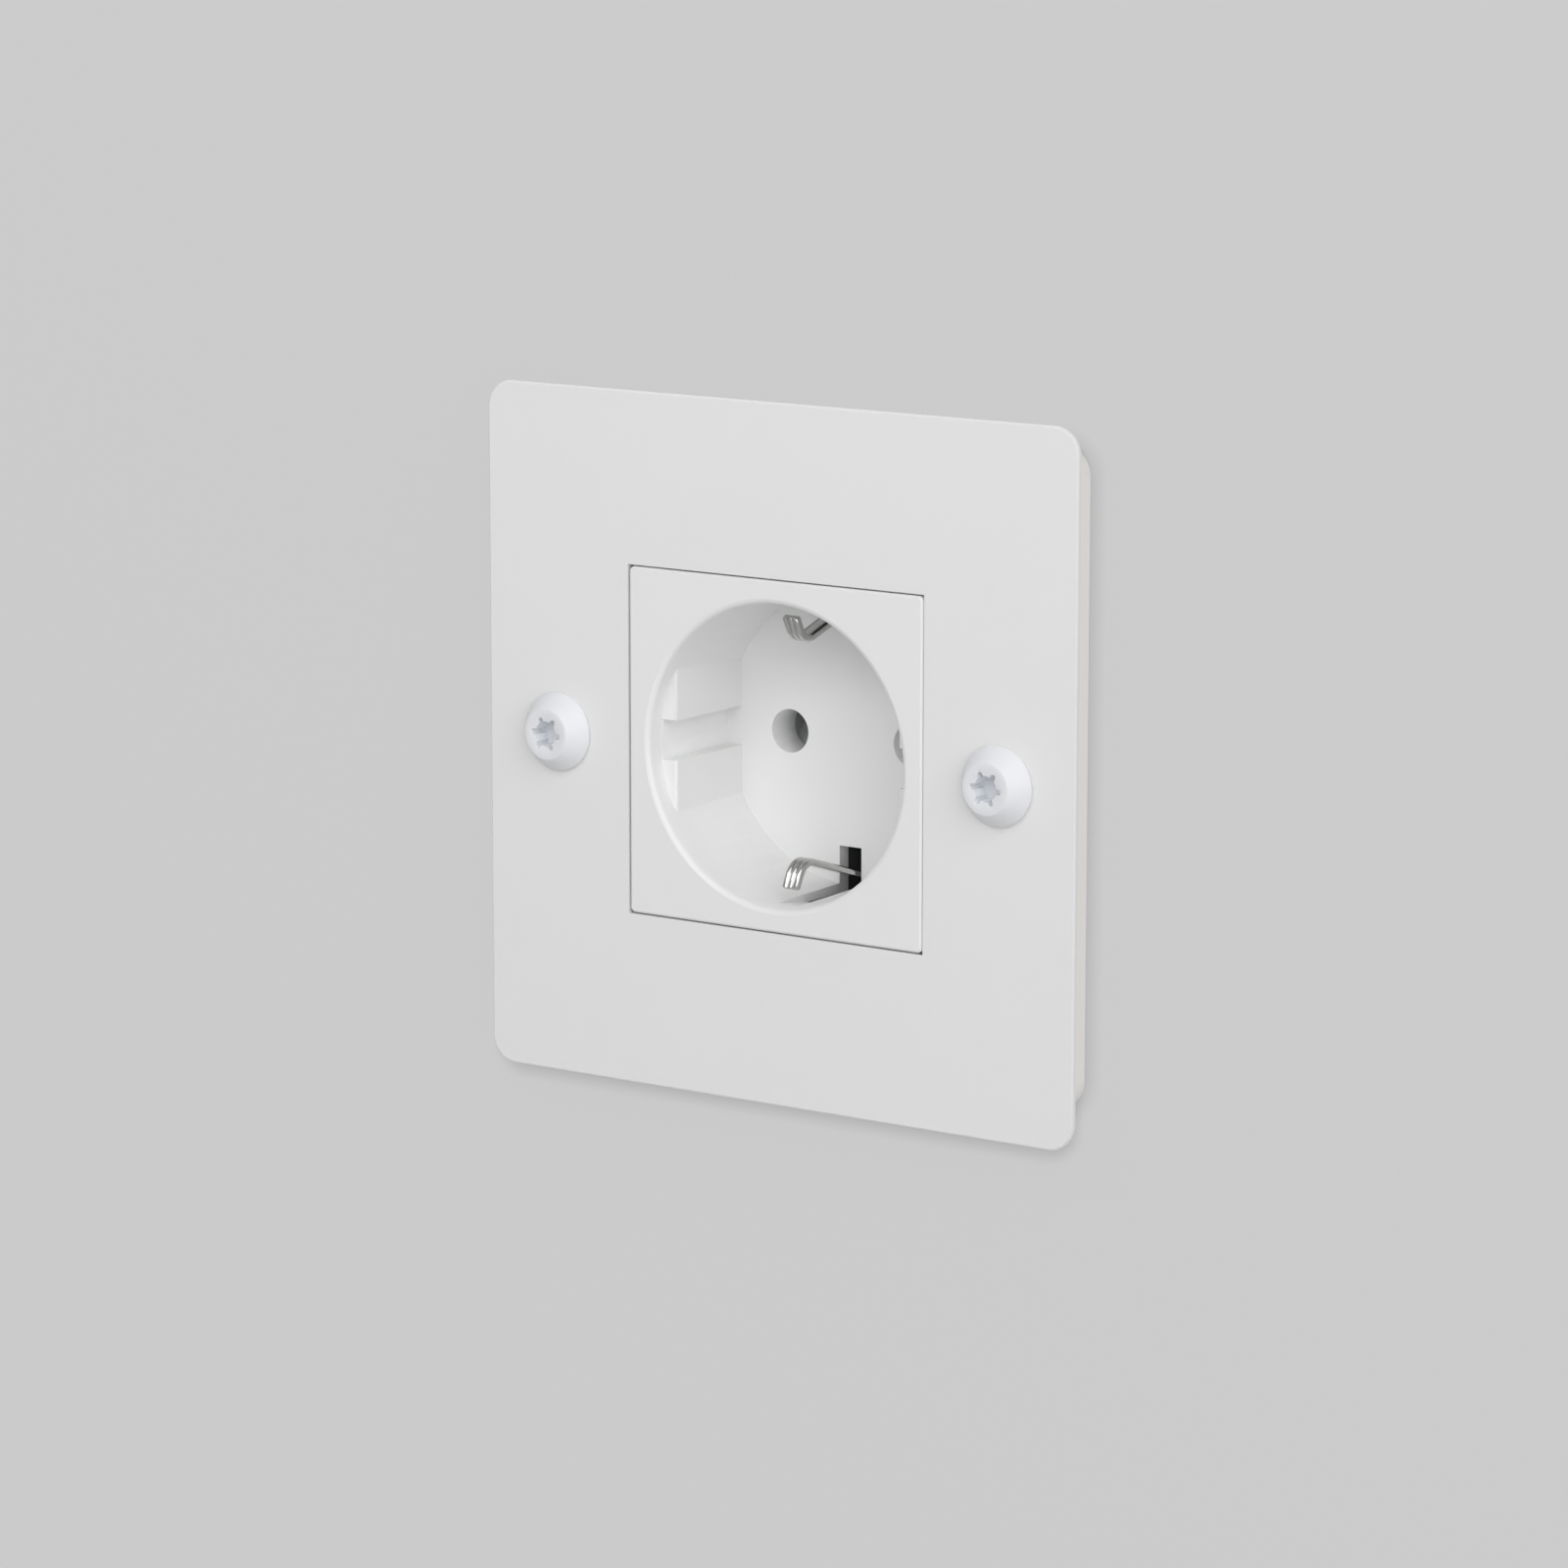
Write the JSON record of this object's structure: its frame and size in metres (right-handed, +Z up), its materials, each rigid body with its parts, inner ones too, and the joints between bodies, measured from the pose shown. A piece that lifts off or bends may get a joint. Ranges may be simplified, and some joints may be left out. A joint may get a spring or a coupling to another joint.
{
  "type": "type f wall socket",
  "caption": "Square flush wall socket: thin face plate on a spacer frame, round plug well with side flats, sprung earth clips, a sliding pin shutter and a deep rear housing.",
  "frame": {"origin": "centre of the plane where the spacer frame meets the wall, midway between the wall-box screw slots", "axes": "+Z up, -Y towards the room, +X to the right for someone who faces the socket"},
  "size_m": [0.09, 0.045, 0.09],
  "materials": {
    "white_coated_steel": "satin powder coat",
    "white_frame_plastic": "satin moulded",
    "white_coated_screw": "satin powder coat",
    "white_insert_plastic": "semi-gloss moulded",
    "dark_grey_plastic": "matt moulded",
    "grey_shutter_plastic": "matt moulded",
    "pale_grey_plastic": "matt sheet",
    "zinc_plated_steel": "zinc plated",
    "screw_steel": "zinc plated",
    "spring_steel": "drawn wire",
    "bright_nickel": "bright nickel plate",
    "contact_brass": "rolled strip",
    "terminal_brass": "sawn bar"
  },
  "bodies": {
    "socket": {"face_plate": "white_coated_steel", "spacer_frame": "white_frame_plastic", "mounting_bridge": "zinc_plated_steel", "threaded_pillar_left": "zinc_plated_steel", "threaded_pillar_right": "zinc_plated_steel", "plate_screw_left": "white_coated_screw", "plate_screw_right": "white_coated_screw", "socket_insert": "white_insert_plastic", "rear_base": "dark_grey_plastic", "inner_plate": "pale_grey_plastic", "shutter_spring": "spring_steel", "line_contact": "contact_brass", "neutral_contact": "contact_brass", "line_terminal": "terminal_brass", "neutral_terminal": "terminal_brass", "earth_strap": "bright_nickel", "earth_terminal": "terminal_brass", "line_terminal_screw": "screw_steel", "neutral_terminal_screw": "screw_steel", "earth_terminal_screw": "screw_steel", "base_screw_1": "screw_steel", "base_screw_2": "screw_steel", "base_screw_3": "screw_steel", "base_screw_4": "screw_steel"},
    "shutter": {"safety_shutter": "grey_shutter_plastic"}
  },
  "joints": [
    {"name": "shutter_slide", "type": "slide", "parent": "socket", "child": "shutter", "axis": [0, 0, -1], "range_m": [0, 0.0065], "stiffness_N_per_m": 60, "springref_m": -0.008, "deforming": ["shutter_spring"]}
  ]
}
